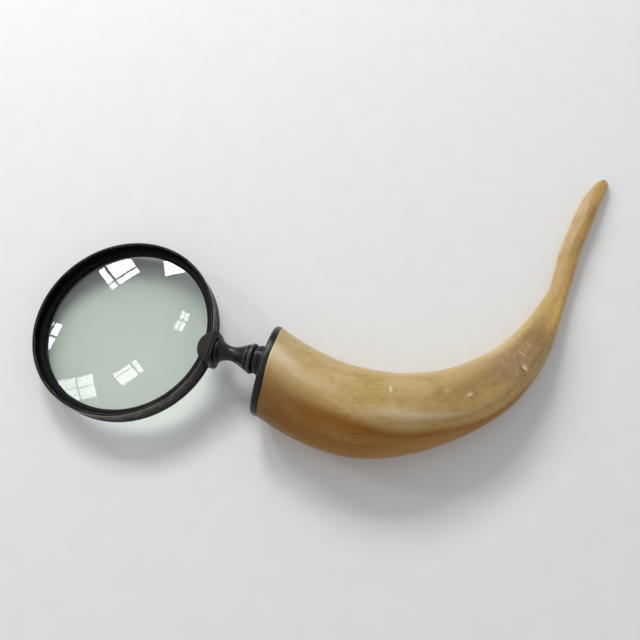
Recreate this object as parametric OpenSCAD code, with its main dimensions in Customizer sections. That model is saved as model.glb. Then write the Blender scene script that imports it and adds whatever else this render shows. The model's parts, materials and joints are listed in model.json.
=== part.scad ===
// Hand magnifying glass: a biconvex lens in a turned metal rim, a cast saddle
// and a turned neck that screws into a horn handle.  Millimetres.
//
// The object lies on its side on a desk: +Z is up from the desk, +X runs along
// the neck from the lens to the handle, and the origin is the middle of the
// whole object's footprint on the desk.  The head is drawn in its own frame,
// with its origin at the middle of the rim and +Z along the lens axis, and is
// then tipped so that the neck climbs to the middle of the handle's end cap.

/* [Rim] */
// Outside diameter of the rim
rim_d = 110; // [96:1:124]
// Height of the rim along the lens axis
rim_h = 13.6; // [12.6:0.2:16]
// Thickness of the rim's front and back lips
lip_t = 1.6; // [1.3:0.1:2]
// Rounding of the rim's outer edges
rim_edge = 0.5; // [0.2:0.1:0.6]
// Thickness of the rim wall around the edge of the lens
wall_t = 3.4; // [3.2:0.1:4]
// Width of the ledge that the lens lies on, and of the ring that holds it
ledge_w = 2.2; // [1.6:0.1:3]
// Thickness of that ledge
ledge_t = 1.5; // [1:0.1:1.8]

/* [Lens] */
// Thickness of the lens at its edge
lens_edge_t = 3; // [2:0.1:3.4]
// Radius of each face of the lens
lens_face_r = 300; // [240:10:800]
// How far the middle of the lens lies behind the middle of the rim
lens_drop = 1.2; // [0.8:0.1:1.4]
// Thickness of the gasket behind the lens
gasket_t = 0.6; // [0.4:0.1:0.8]
// Height of the ring that holds the lens
retainer_h = 2; // [1.6:0.1:2.6]
// Width of the split in that ring
retainer_gap = 3; // [2:0.5:6]

/* [Saddle] */
// Radius of the saddle's two half-round tongues
tongue_r = 9.8; // [8.6:0.1:12]
// Thickness of each tongue
tongue_t = 1.4; // [1:0.1:2]
// Thickness of the saddle between the rim and the neck
saddle_t = 3.5; // [3:0.1:5]
// How far the saddle was set to one side of the neck
saddle_shift = -0.8; // [-1.5:0.1:1.5]
// Radius of the saddle's rounded lower half, about the neck
saddle_round_r = 10.2; // [9.9:0.1:12]

/* [Neck] */
// Length of the neck from the saddle to its foot
neck_l = 25.1; // [24:0.1:30]
// Radius of the neck where it meets the saddle
neck_head_r = 7.5; // [6.5:0.1:8.4]
// Radius of the waist
waist_r = 4.2; // [3.6:0.1:5]
// Distance of the waist from the saddle
waist_at = 8.5; // [8:0.1:9.5]
// Radius of the flare beside the bead
flare_r = 7.6; // [7.2:0.1:8.2]
// Radius of the bead round the neck's foot
bead_r = 8.9; // [8.4:0.1:10]
// Radius of the loose collar between the neck and the end cap
collar_r = 8.6; // [8:0.1:9.6]
// Length of that collar
collar_l = 3.1; // [2.4:0.1:4]

/* [Screw and stud] */
// Diameter of the screw that holds the rim and saddle to the neck
screw_d = 3; // [2.5:0.1:3.4]
// Diameter of the stud that joins the neck to the handle
stud_d = 8; // [6:0.5:8]
// How far the stud reaches into the neck
stud_in_neck = 5.5; // [4:0.1:5.5]
// Across-flats width of the nut behind the end cap
nut_af = 13; // [12:0.5:13]
// Thickness of that nut
nut_h = 6.5; // [4:0.1:6.5]
// Thickness of the washer under the nut
washer_t = 1.6; // [1:0.1:2]

/* [End cap] */
// Thickness of the end cap
cap_t = 4.5; // [4:0.1:6]
// Rounding of the cap's front edge
cap_edge = 1.8; // [0.8:0.1:2.4]
// Diameter of the dowels between the cap and the plug
dowel_d = 3; // [2:0.5:3.5]
// Length of those dowels
dowel_l = 10; // [8:0.5:14]

/* [Horn] */
// Slope of the neck above the desk, in degrees
head_slope = 5.6; // [4:0.1:7]
// Length of the horn along its centre line
horn_l = 310; // [280:1:340]
// How far the middle of the horn's open end lies to one side of the neck
horn_side = -4.4; // [-5.5:0.1:-3.5]
// Height of the horn's section over its width, at the open end
horn_flatness = 0.8; // [0.77:0.01:0.84]
// Wall thickness of the hollow part of the horn
horn_wall = 3.5; // [3:0.1:4.5]
// Depth of the hollow
hollow_l = 140; // [100:1:150]
// Depth of the plug that fills the mouth of the hollow
plug_l = 34; // [24:1:40]

/* [Hidden] */
$fn = 96;

// Heading of the horn's centre line in degrees, and half its width, at equal
// steps from the open end to the tip.
horn_heading = [-24, -8, 16, 32, 49, 67, 78, 83, 75, 66];
horn_half_w = [24.3, 25.2, 24.4, 20.1, 16.5, 11.7, 6.7, 6.1, 6.2, 3.1];
// Length of the rounded point, and of the stretch that turns square to the cap.
tip_l = 9;
squaring_l = 50;
// Rings along the horn and points round each ring.
horn_rings = 60;
ring_points = 40;

clear = 0.05;
eps = 0.02;
rim_r = rim_d / 2;
lens_seat_r = rim_r - wall_t;
lens_r = lens_seat_r - 2 * clear;
ledge_r = lens_seat_r - ledge_w;
lip_r = rim_r - lip_t;
lens_front = -lens_drop + lens_edge_t / 2;
lens_back = -lens_drop - lens_edge_t / 2;
ledge_front = lens_back - gasket_t;
ledge_back = ledge_front - ledge_t;
ledge_slope_h = 1.5;
saddle_x = rim_r + saddle_t;
saddle_half_h = rim_h / 2 + tongue_t;
spigot_r = 3.2;
spigot_l = 1.2;
screw_r = screw_d / 2;
screw_head_r = 1.75 * screw_r;
screw_head_x = lip_r + clear;
screw_l = 11.6;
slot_w = 0.6;
slot_deep = 0.5;
stud_r = stud_d / 2;
foot_x = saddle_x + neck_l;
collar_x = foot_x + clear;
boss_x = collar_x + collar_l + clear;
boss_r = collar_r + 0.4;
cap_front_x = (boss_x + boss_r * tan(head_slope)) * cos(head_slope) - 0.05;
cap_back_x = cap_front_x + cap_t;
spot_face_x = boss_x + cap_t - 0.4;
nut_x = spot_face_x + washer_t;
nut_r = nut_af / 2 / cos(30);
washer_r = 1.23 * nut_af / 2;
pocket_r = nut_r + 0.9;
stud_end_x = nut_x + nut_h + 5;
pocket_end_x = stud_end_x + 1;
dowel_r = dowel_d / 2;
dowel_in_cap = 2.5;
dowel_y = [-16.4, 15.6];

// Height of the lens face at radius r above the lens's edge.
function lens_rise(r) = sqrt(pow(lens_face_r, 2) - r * r) - sqrt(pow(lens_face_r, 2) - lens_r * lens_r);

// Smooth curve through equally spaced stations, for t from 0 to 1.
function padded(v) = concat([2 * v[0] - v[1]], v, [2 * v[len(v) - 1] - v[len(v) - 2]]);
function cubic(a, b, c, d, k) =
    0.5 * (2 * b + (c - a) * k + (2 * a - 5 * b + 4 * c - d) * k * k
           + (3 * b - a - 3 * c + d) * k * k * k);
function through(v, t) =
    let (n = len(v) - 1, w = padded(v), i = min(floor(t * n), n - 1), k = t * n - i)
    cubic(w[i], w[i + 1], w[i + 2], w[i + 3], k);
function ramp(x) = let (k = min(max(x, 0), 1)) k * k * (3 - 2 * k);
// One at the start of a rounded end, falling to zero along a quarter ellipse.
function rounded_end(x) = let (k = min(max(x, 0), 1)) sqrt(1 - k * k);

// Places along the horn's centre line, walked ring by ring from the cap.
function step_to(i) =
    let (h = through(horn_heading, (i + 0.5) / horn_rings))
    horn_l / horn_rings * [cos(h), sin(h)];
function walk(i, at) = i == horn_rings ? [at] : concat([at], walk(i + 1, at + step_to(i)));
horn_path = walk(0, [cap_back_x, horn_side]);

// Half-width and half-height of the horn, square to its centre line.
function half_w(i) =
    let (t = i / horn_rings)
    through(horn_half_w, t) * rounded_end(1 - horn_l * (1 - t) / tip_l);
function half_h(i) =
    half_w(i) * (horn_flatness + 0.1 * sin(90 * min(1.2 * i / horn_rings, 1)));
// The rings are square to the neck at the cap and square to the horn further on.
function ring_turn(i) =
    let (h = through(horn_heading, i / horn_rings))
    h < 0 ? h * ramp(i / horn_rings * horn_l / squaring_l) : h;
function ring(i, x, y, w, h, lift) =
    let (turn = ring_turn(i))
    [for (k = [0:ring_points - 1]) let (a = 360 * k / ring_points)
        [x - w * cos(a) * sin(turn), y + w * cos(a) * cos(turn), lift + h * sin(a)]];
function in_plane(i) =
    half_w(i) / cos(through(horn_heading, i / horn_rings) - ring_turn(i));
function outer_ring(i) =
    ring(i, horn_path[i].x, horn_path[i].y, in_plane(i), half_h(i), half_h(i));
// The hollow follows the outside, a wall thickness in, and ends in a dome.
function inner_ring(i, gap) =
    let (at = i / horn_rings * horn_l, f = rounded_end(1 - 3 * (1 - at / hollow_l)))
    ring(i, horn_path[i].x, horn_path[i].y, (in_plane(i) - horn_wall - gap) * f,
         (half_h(i) - horn_wall - gap) * f, half_h(i));

base_w = in_plane(0);
base_h = half_h(0);
hollow_rings = floor(hollow_l / horn_l * horn_rings);
plug_rings = round(plug_l / horn_l * horn_rings);

// The footprint, which sets the origin.
horn_points = [for (i = [0:horn_rings]) each outer_ring(i)];
horn_max_x = max([for (p = horn_points) p.x]);
horn_max_y = max([for (p = horn_points) p.y]);
rim_min_x = -(rim_r - rim_edge) * cos(head_slope)
            - (rim_h / 2 - rim_edge) * sin(head_slope) - rim_edge;
lens_height = (rim_r - rim_edge) * sin(head_slope)
              + (rim_h / 2 - rim_edge) * cos(head_slope) + rim_edge;
footprint = [(rim_min_x + horn_max_x) / 2, (horn_max_y - rim_r) / 2, 0];

module handle_frame() { translate(-footprint) children(); }

module head_frame() {
    handle_frame() translate([0, 0, lens_height]) rotate([0, -head_slope, 0]) children();
}

// Children drawn along +Z come out along the neck, starting at distance x.
module on_neck(x) { head_frame() translate([x, 0, 0]) rotate([0, 90, 0]) children(); }

// A closed solid through a list of rings with the same number of points.
module loft(rings) {
    n = len(rings[0]);
    last = (len(rings) - 1) * n;
    polyhedron(
        points = [for (r = rings) each r],
        faces = concat(
            [[for (k = [0:n - 1]) k]],
            [for (i = [0:len(rings) - 2], k = [0:n - 1]) let (j = (k + 1) % n)
                [i * n + k, (i + 1) * n + k, (i + 1) * n + j, i * n + j]],
            [[for (k = [n - 1:-1:0]) last + k]]));
}

// A quarter-round outside corner of radius r, turning from angle a to a + 90.
function corner(x, y, r, a) = [for (k = [0:4]) [x + r * cos(a + 22.5 * k), y + r * sin(a + 22.5 * k)]];

module rim_ring() {
    h = rim_h / 2;
    inner_edge = 0.3;
    color("#2b211b") difference() {
        head_frame() rotate_extrude() polygon(concat(
            corner(rim_r - rim_edge, -h + rim_edge, rim_edge, -90),
            corner(rim_r - rim_edge, h - rim_edge, rim_edge, 0),
            [[lip_r + inner_edge, h], [lip_r, h - inner_edge], [lip_r, lens_front],
             [lens_seat_r, lens_front], [lens_seat_r, ledge_front], [ledge_r, ledge_front],
             [ledge_r, ledge_back], [lip_r, ledge_back - ledge_slope_h],
             [lip_r, -h + inner_edge], [lip_r + inner_edge, -h]]));
        on_neck(rim_r - 2 * wall_t) cylinder(r = screw_r + clear, h = 3 * wall_t);
        on_neck(lens_r - 2) cylinder(r = screw_head_r + clear, h = screw_head_x - lens_r + 2);
        on_neck(screw_head_x - eps)
            cylinder(r1 = screw_head_r + clear, r2 = screw_r + clear,
                     h = screw_head_r - screw_r);
    }
}

module lens() {
    offset_z = lens_face_r - lens_rise(0) - lens_edge_t / 2;
    color("#cfe6e2", 0.5) head_frame() translate([0, 0, -lens_drop]) intersection() {
        translate([0, 0, offset_z]) sphere(r = lens_face_r, $fn = 360);
        translate([0, 0, -offset_z]) sphere(r = lens_face_r, $fn = 360);
        translate([0, 0, -lens_face_r / 2]) cylinder(r = lens_r, h = lens_face_r);
    }
}

// Pressed thinner at its inner edge, where the lens is fuller.
module lens_gasket() {
    inner_r = ledge_r + 0.3;
    color("#3a2f28") head_frame() translate([0, 0, ledge_front]) rotate_extrude() polygon([
        [inner_r, 0], [lens_r, 0], [lens_r, gasket_t - eps],
        [inner_r, gasket_t - eps - lens_rise(inner_r)]]);
}

module retaining_ring() {
    nose = 0.5;
    rise = lens_rise(ledge_r) + eps;
    color("#1b1613") head_frame() difference() {
        translate([0, 0, lens_front]) rotate_extrude() polygon([
            [ledge_r, rise], [lens_r, eps], [lip_r - clear, eps], [lip_r - clear, retainer_h],
            [ledge_r + ledge_w * 0.6, retainer_h], [ledge_r, rise + nose]]);
        translate([ledge_r - 1, -retainer_gap / 2, lens_front - 1])
            cube([2 * wall_t, retainer_gap, retainer_h + 2]);
    }
}

module saddle() {
    color("#2e2620") difference() {
        head_frame() difference() {
            intersection() {
                translate([saddle_x, saddle_shift, -saddle_half_h])
                    cylinder(r = tongue_r, h = 2 * saddle_half_h);
                translate([0, -rim_r, -rim_h]) cube([saddle_x, rim_d, 2 * rim_h]);
                union() {
                    translate([0, -rim_r, 0]) cube([saddle_x, rim_d, rim_h]);
                    translate([0, saddle_shift, 0]) rotate([0, 90, 0])
                        cylinder(r = saddle_round_r, h = saddle_x + 1);
                }
            }
            translate([0, 0, -rim_h / 2 - clear])
                cylinder(r = rim_r + clear, h = rim_h + 2 * clear);
        }
        on_neck(rim_r - 1) cylinder(r = screw_r + clear, h = saddle_t + 2);
        on_neck(saddle_x - spigot_l - clear) cylinder(r = spigot_r + clear, h = 2 * spigot_l);
    }
}

module head_screw() {
    head_h = screw_head_r - screw_r;
    color("#6d675f") difference() {
        on_neck(screw_head_x) rotate_extrude() polygon([
            [0, 0], [screw_head_r, 0], [screw_r, head_h], [screw_r, screw_l], [0, screw_l]]);
        head_frame() translate([screw_head_x - 1, -slot_w / 2, -2 * screw_head_r])
            cube([1 + slot_deep, slot_w, 4 * screw_head_r]);
    }
}

// Half-outline of the neck: [radius, distance from the saddle].
function neck_outline() =
    let (bulge = 1.2, flare_at = neck_l - 6.6, bead_at = neck_l - 3.3, bead_half = 2)
    concat(
        [[0, -spigot_l], [spigot_r, -spigot_l], [spigot_r, 0], [neck_head_r - 0.3, 0]],
        [for (k = [0:4]) let (a = 15 * k) [neck_head_r - bulge * (1 - cos(a)), bulge * sin(a)]],
        [for (k = [1:8]) let (t = 1 - k / 8, x = waist_at - t * (waist_at - 1.6))
            [waist_r + (neck_head_r - bulge * 0.6 - waist_r) * t * t, x]],
        [for (k = [1:9]) let (t = k / 9)
            [waist_r + (flare_r - waist_r) * pow(t, 1.8), waist_at + t * (flare_at - waist_at)]],
        [[flare_r, flare_at + 0.6], [flare_r - 0.9, flare_at + 1]],
        [for (k = [0:6]) let (a = -60 + 20 * k)
            [bead_r - 1.3 + 1.3 * cos(a), bead_at + bead_half * sin(a)]],
        [[flare_r, neck_l - 1.1], [flare_r + 0.5, neck_l - 0.5], [flare_r + 0.5, neck_l],
         [0, neck_l]]);

module neck_baluster() {
    color("#332a24") difference() {
        on_neck(saddle_x) rotate_extrude() polygon(neck_outline());
        on_neck(saddle_x - spigot_l - 1)
            cylinder(r = screw_r + clear, h = spigot_l + 1 + waist_at - 0.5);
        on_neck(foot_x - stud_in_neck - 0.5)
            cylinder(r = stud_r + clear, h = stud_in_neck + 1.5);
    }
}

module foot_collar() {
    edge = 0.6;
    color("#332a24") difference() {
        on_neck(collar_x) rotate_extrude() polygon([
            [0, 0], [collar_r - edge, 0], [collar_r, edge], [collar_r, collar_l - edge],
            [collar_r - edge, collar_l], [0, collar_l]]);
        on_neck(collar_x - 1) cylinder(r = stud_r + clear, h = collar_l + 2);
    }
}

// An ellipse like the horn's open end, drawn in by inset, at distance x.
function cap_ring(x, inset) = [for (k = [0:95]) let (a = 360 * k / 96)
    [x, horn_side + (base_w - inset) * cos(a), base_h + (base_h - inset) * sin(a)]];

module cap_dowel_holes(r, l) {
    for (y = dowel_y)
        handle_frame() translate([cap_back_x - dowel_in_cap, horn_side + y, base_h])
            rotate([0, 90, 0]) cylinder(r = r, h = l);
}

module end_cap() {
    color("#17171a") difference() {
        union() {
            handle_frame() loft(concat(
                [for (k = [0:5]) let (a = 18 * k)
                    cap_ring(cap_front_x + cap_edge * (1 - sin(a)) * 0.8,
                             cap_edge * (1 - cos(90 - a)))],
                [cap_ring(cap_back_x, 0)]));
            on_neck(boss_x) cylinder(r = boss_r, h = 3);
        }
        on_neck(boss_x - 1) cylinder(r = stud_r + eps, h = cap_t + 6);
        on_neck(spot_face_x) cylinder(r = washer_r + 0.2, h = cap_t);
        cap_dowel_holes(dowel_r + eps, dowel_l);
    }
}

module stud() {
    color("#8f8d88") on_neck(foot_x - stud_in_neck)
        cylinder(r = stud_r, h = stud_end_x - foot_x + stud_in_neck);
}

module stud_nut() {
    color("#9a9890") on_neck(nut_x + eps) difference() {
        cylinder(r = nut_r, h = nut_h, $fn = 6);
        translate([0, 0, -1]) cylinder(r = stud_r + eps, h = nut_h + 2);
    }
}

module nut_washer() {
    color("#9a9890") on_neck(spot_face_x + eps) difference() {
        cylinder(r = washer_r, h = washer_t - eps);
        translate([0, 0, -1]) cylinder(r = stud_r + 0.2, h = washer_t + 2);
    }
}

module cap_dowels() {
    color("#b08a4a") for (y = dowel_y)
        handle_frame() translate([cap_back_x - dowel_in_cap + clear, horn_side + y, base_h])
            rotate([0, 90, 0]) cylinder(r = dowel_r, h = dowel_l - 2 * clear);
}

module core_plug() {
    color("#a97c50") difference() {
        handle_frame() loft([for (i = [0:plug_rings])
            [for (p = inner_ring(i, 0.1)) p + [i == 0 ? clear : 0, 0, 0]]]);
        on_neck(cap_back_x - cap_t) cylinder(r = pocket_r, h = pocket_end_x - cap_back_x + cap_t);
        cap_dowel_holes(dowel_r + eps, dowel_l);
    }
}

module horn_handle() {
    n = ring_points;
    outer = [for (i = [0:horn_rings - 1]) each outer_ring(i)];
    inner = [for (i = [0:hollow_rings]) each inner_ring(i, 0)];
    tip = [horn_path[horn_rings].x, horn_path[horn_rings].y, 0];
    tip_at = len(outer);
    in_at = tip_at + 1;
    in_last = in_at + hollow_rings * n;
    color("#d9b27a") handle_frame() polyhedron(
        points = concat(outer, [tip], inner),
        faces = concat(
            [for (i = [0:horn_rings - 2], k = [0:n - 1]) let (j = (k + 1) % n)
                [i * n + k, (i + 1) * n + k, (i + 1) * n + j, i * n + j]],
            [for (k = [0:n - 1]) let (j = (k + 1) % n)
                [(horn_rings - 1) * n + k, tip_at, (horn_rings - 1) * n + j]],
            [for (i = [0:hollow_rings - 1], k = [0:n - 1]) let (j = (k + 1) % n)
                [in_at + i * n + j, in_at + (i + 1) * n + j, in_at + (i + 1) * n + k,
                 in_at + i * n + k]],
            [[for (k = [0:n - 1]) in_last + k]],
            [for (k = [0:n - 1]) let (j = (k + 1) % n) [k, j, in_at + j, in_at + k]]));
}

rim_ring();
lens();
lens_gasket();
retaining_ring();
saddle();
head_screw();
neck_baluster();
foot_collar();
end_cap();
stud();
stud_nut();
nut_washer();
cap_dowels();
core_plug();
horn_handle();
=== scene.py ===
# A hand magnifying glass with a horn handle.  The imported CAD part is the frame; the pieces
# below stand for its visible nodes, and the nodes inside it keep their shape and get a finish.
# Lengths in this script are millimetres, until skin() makes a mesh in metres.  Only the floor,
# the windows and the scales of the materials' grain are given in metres.

import json
import math

import bmesh
import bpy
import numpy as np
from mathutils import Matrix, Vector


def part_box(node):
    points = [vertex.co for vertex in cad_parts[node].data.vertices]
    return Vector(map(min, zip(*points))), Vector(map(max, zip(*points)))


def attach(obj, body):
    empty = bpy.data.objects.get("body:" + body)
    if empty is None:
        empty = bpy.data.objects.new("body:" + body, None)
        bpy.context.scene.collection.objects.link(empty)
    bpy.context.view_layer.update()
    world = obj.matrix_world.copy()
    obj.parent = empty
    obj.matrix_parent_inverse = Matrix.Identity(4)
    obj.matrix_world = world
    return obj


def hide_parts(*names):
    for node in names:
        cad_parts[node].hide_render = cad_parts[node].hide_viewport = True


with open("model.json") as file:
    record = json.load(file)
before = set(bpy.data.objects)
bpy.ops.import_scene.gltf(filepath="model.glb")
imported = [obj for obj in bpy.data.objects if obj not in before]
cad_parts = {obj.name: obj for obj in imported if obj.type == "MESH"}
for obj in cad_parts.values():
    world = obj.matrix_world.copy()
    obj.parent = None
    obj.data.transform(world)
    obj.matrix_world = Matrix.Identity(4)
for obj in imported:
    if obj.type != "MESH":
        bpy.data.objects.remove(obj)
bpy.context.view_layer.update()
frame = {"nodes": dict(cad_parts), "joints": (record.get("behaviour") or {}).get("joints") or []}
MM = 0.001

# In metres: points of a mesh that are nearer than this are one point, and edges that are shorter
# than a sliver are left over from a cut.
SAME_POINT = 1e-7
SLIVER = 2e-6


# ---------------------------------------------------------------- numbers and curves

def smooth(x, low, high):
    """0 below low and 1 above high, with a smooth ramp between them."""
    k = np.clip((x - low) / (high - low), 0, 1)
    return k * k * (3 - 2 * k)


def hill(x, centre, width):
    """1 at the centre, falling to nearly 0 two widths away."""
    return np.exp(-(((x - centre) / width) ** 2))


def band(x, low, full, fade, gone):
    """0 below low and above gone, and 1 from full to fade, with smooth ramps between."""
    return smooth(x, low, full) * (1 - smooth(x, fade, gone))


def through(stations, t):
    """A smooth curve through equally spaced stations, for t from 0 to 1."""
    v = np.asarray(stations, float)
    w = np.concatenate([[2 * v[0] - v[1]], v, [2 * v[-1] - v[-2]]])
    place = np.clip(t, 0, 1) * (len(v) - 1)
    i = np.minimum(place.astype(int), len(v) - 2)
    k = (place - i).reshape(place.shape + (1,) * (v.ndim - 1))
    a, b, c, d = w[i], w[i + 1], w[i + 2], w[i + 3]
    return 0.5 * (2 * b + (c - a) * k + (2 * a - 5 * b + 4 * c - d) * k ** 2
                  + (3 * b - a - 3 * c + d) * k ** 3)


def rounded(corners, closed=True, steps=4, skirt=0.5):
    """An outline from corners (x, y, radius).  Gives its points, and how far each one sticks out
    as an edge that hands rub: 1 on outward corners, 0 on flats and in grooves."""
    xy = np.array([c[:2] for c in corners], float)
    area = np.sum(xy[:, 0] * np.roll(xy[:, 1], -1) - np.roll(xy[:, 0], -1) * xy[:, 1])
    out, rub = [], []
    for i, (_, _, radius) in enumerate(corners):
        p = xy[i]
        is_end = not closed and i in (0, len(corners) - 1)
        if radius == 0 or is_end:
            out.append(p)
            rub.append(0.0)
            continue
        a, b = xy[i - 1] - p, xy[(i + 1) % len(corners)] - p
        a_length, b_length = np.linalg.norm(a), np.linalg.norm(b)
        a, b = a / a_length, b / b_length
        half = 0.5 * math.acos(float(np.clip(a @ b, -1, 1)))
        outward = (a[0] * b[1] - a[1] * b[0]) * area < 0
        tangent = radius / math.tan(half)
        middle = p + (a + b) / np.linalg.norm(a + b) * radius / math.sin(half)
        first, last = p + a * tangent - middle, p + b * tangent - middle
        turn = math.pi - 2 * half
        if tangent + skirt < a_length / 2:
            out.append(p + a * (tangent + skirt))
            rub.append(0.0)
        for k in np.linspace(0, 1, steps + 1):
            arm = (math.sin((1 - k) * turn) * first + math.sin(k * turn) * last) / math.sin(turn)
            out.append(middle + arm)
            rub.append(math.sin(k * math.pi) if outward else 0.0)
        if tangent + skirt < b_length / 2:
            out.append(p + b * (tangent + skirt))
            rub.append(0.0)
    return np.array(out), np.array(rub)


# ---------------------------------------------------------------- places, read from the frame

def points(node):
    """The corners of a node's CAD mesh."""
    return np.array([v.co for v in frame["nodes"][node].data.vertices], float) / MM


def box(node):
    """The least and the greatest corner of a node's box."""
    low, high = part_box(node)
    return np.array(low) / MM, np.array(high) / MM


# Directions of the head: along the neck from the lens to the horn, across it, and up through the
# lens.  LENS is the middle of the rim.
TURN = next(j for j in frame["joints"] if j["name"] == "head_turn")
NECK = -np.array(TURN["axis"], float) / np.linalg.norm(TURN["axis"])
ACROSS = np.array([0.0, 1.0, 0.0])
UP = np.cross(NECK, ACROSS)
LENS = sum(box("rim_ring")) / 2


def span(node, axis):
    """Least and greatest distance of a node from the middle of the rim, along an axis."""
    along = (points(node) - LENS) @ axis
    return along.min(), along.max()


def girth(node):
    """Greatest distance of a node from the neck's centre line."""
    d = points(node) - LENS
    return np.linalg.norm(d - np.outer(d @ NECK, NECK), axis=1).max()


def in_head(x, y, z):
    """Points from distances along the neck, across it, and along the lens axis."""
    x, y, z = np.broadcast_arrays(x, y, z)
    return LENS + x[..., None] * NECK + y[..., None] * ACROSS + z[..., None] * UP


RIM_R = span("rim_ring", ACROSS)[1]
RIM_H = span("rim_ring", UP)[1]
SADDLE_TOP = span("saddle", UP)[1]
SADDLE_END = span("saddle", NECK)[1]
NECK_END = span("neck_baluster", NECK)[1]
STUD_R = girth("stud")

# The head screw's radius, the neck's spigot in the saddle, and the gap between pieces that fit
# into each other.
SCREW_R = 1.5
SPIGOT_R = 3.2
SPIGOT_L = 1.2
FIT = 0.05


# ---------------------------------------------------------------- meshes

def placed(name, data):
    """A new object in the scene, made of a mesh, a light or a camera."""
    made = bpy.data.objects.new(name, data)
    bpy.context.scene.collection.objects.link(made)
    return made


def skin(name, rings, joined=False, marks=None):
    """A closed mesh through rings of points.  The last ring meets the first if joined is true,
    and otherwise both ends are filled.  marks are named numbers or vectors, one for each point."""
    rings = np.asarray(rings, float)
    n, m = rings.shape[:2]
    ring, side = np.meshgrid(np.arange(n if joined else n - 1), np.arange(m), indexing="ij")
    here, beside = ring * m, (ring + 1) % n * m
    turned = (side + 1) % m
    faces = np.stack([here + side, here + turned, beside + turned, beside + side], -1)
    faces = faces.reshape(-1, 4).tolist()
    if not joined:
        faces.append(list(range(m - 1, -1, -1)))
        faces.append(list(range((n - 1) * m, n * m)))
    mesh = bpy.data.meshes.new(name)
    mesh.from_pydata((rings.reshape(-1, 3) * MM).tolist(), [], faces)
    for label, values in (marks or {}).items():
        values = np.asarray(values, np.float32)
        is_vector = values.ndim == 3
        layer = mesh.attributes.new(label, "FLOAT_VECTOR" if is_vector else "FLOAT", "POINT")
        if not is_vector:
            values = np.broadcast_to(values if values.ndim == 2 else values[:, None], (n, m))
        layer.data.foreach_set("vector" if is_vector else "value", values.ravel())
    tidy = bmesh.new()
    tidy.from_mesh(mesh)
    bmesh.ops.remove_doubles(tidy, verts=tidy.verts, dist=SAME_POINT)
    bmesh.ops.recalc_face_normals(tidy, faces=tidy.faces)
    tidy.to_mesh(mesh)
    tidy.free()
    return placed(name, mesh)


def circles(outline, about="neck", segments=192):
    """A ring of points for each (radius, distance) of an outline, about the neck or the lens axis."""
    turn = np.linspace(0, 2 * np.pi, segments, endpoint=False)
    radius, along = outline[:, 0, None], outline[:, 1, None]
    if about == "neck":
        return in_head(along, radius * np.cos(turn), radius * np.sin(turn))
    return in_head(radius * np.cos(turn), radius * np.sin(turn), along)


def bore(start, end, radius):
    """A rod along the neck, to cut a hole with."""
    return skin("cutter", circles(np.array([[radius, start], [radius, end]]), segments=64))


def cut(piece, cutter):
    """Takes the cutter's shape out of the piece, with no slivers left along the cut."""
    step = piece.modifiers.new("cut", "BOOLEAN")
    step.object = cutter
    step.operation = "DIFFERENCE"
    step.solver = "EXACT"
    graph = bpy.context.evaluated_depsgraph_get()
    shape = bpy.data.meshes.new_from_object(
        piece.evaluated_get(graph), preserve_all_data_layers=True, depsgraph=graph)
    tidy = bmesh.new()
    tidy.from_mesh(shape)
    bmesh.ops.dissolve_degenerate(tidy, edges=tidy.edges, dist=SLIVER)
    bmesh.ops.triangulate(tidy, faces=[f for f in tidy.faces if len(f.verts) > 4])
    bmesh.ops.dissolve_degenerate(tidy, edges=tidy.edges, dist=SLIVER)
    tidy.to_mesh(shape)
    tidy.free()
    piece.modifiers.clear()
    piece.data = shape
    bpy.data.objects.remove(cutter)


def paint(mesh, material):
    """Gives a mesh one material in place of any that it has."""
    mesh.materials.clear()
    mesh.materials.append(material)


def fit(piece, body, material, node, crease=32):
    """Finishes a piece: its material, its smooth shading up to the crease angle, its body and the
    node that it stands for."""
    paint(piece.data, material)
    piece.data.shade_smooth()
    piece.data.set_sharp_from_angle(angle=math.radians(crease))
    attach(piece, body)
    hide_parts(node)


# ---------------------------------------------------------------- material nodes

def tint(code):
    """Scene colour of a hex colour code."""
    parts = [int(code[i:i + 2], 16) / 255 for i in (1, 3, 5)]
    return tuple(p / 12.92 if p <= 0.04045 else ((p + 0.055) / 1.055) ** 2.4 for p in parts) + (1.0,)


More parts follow.
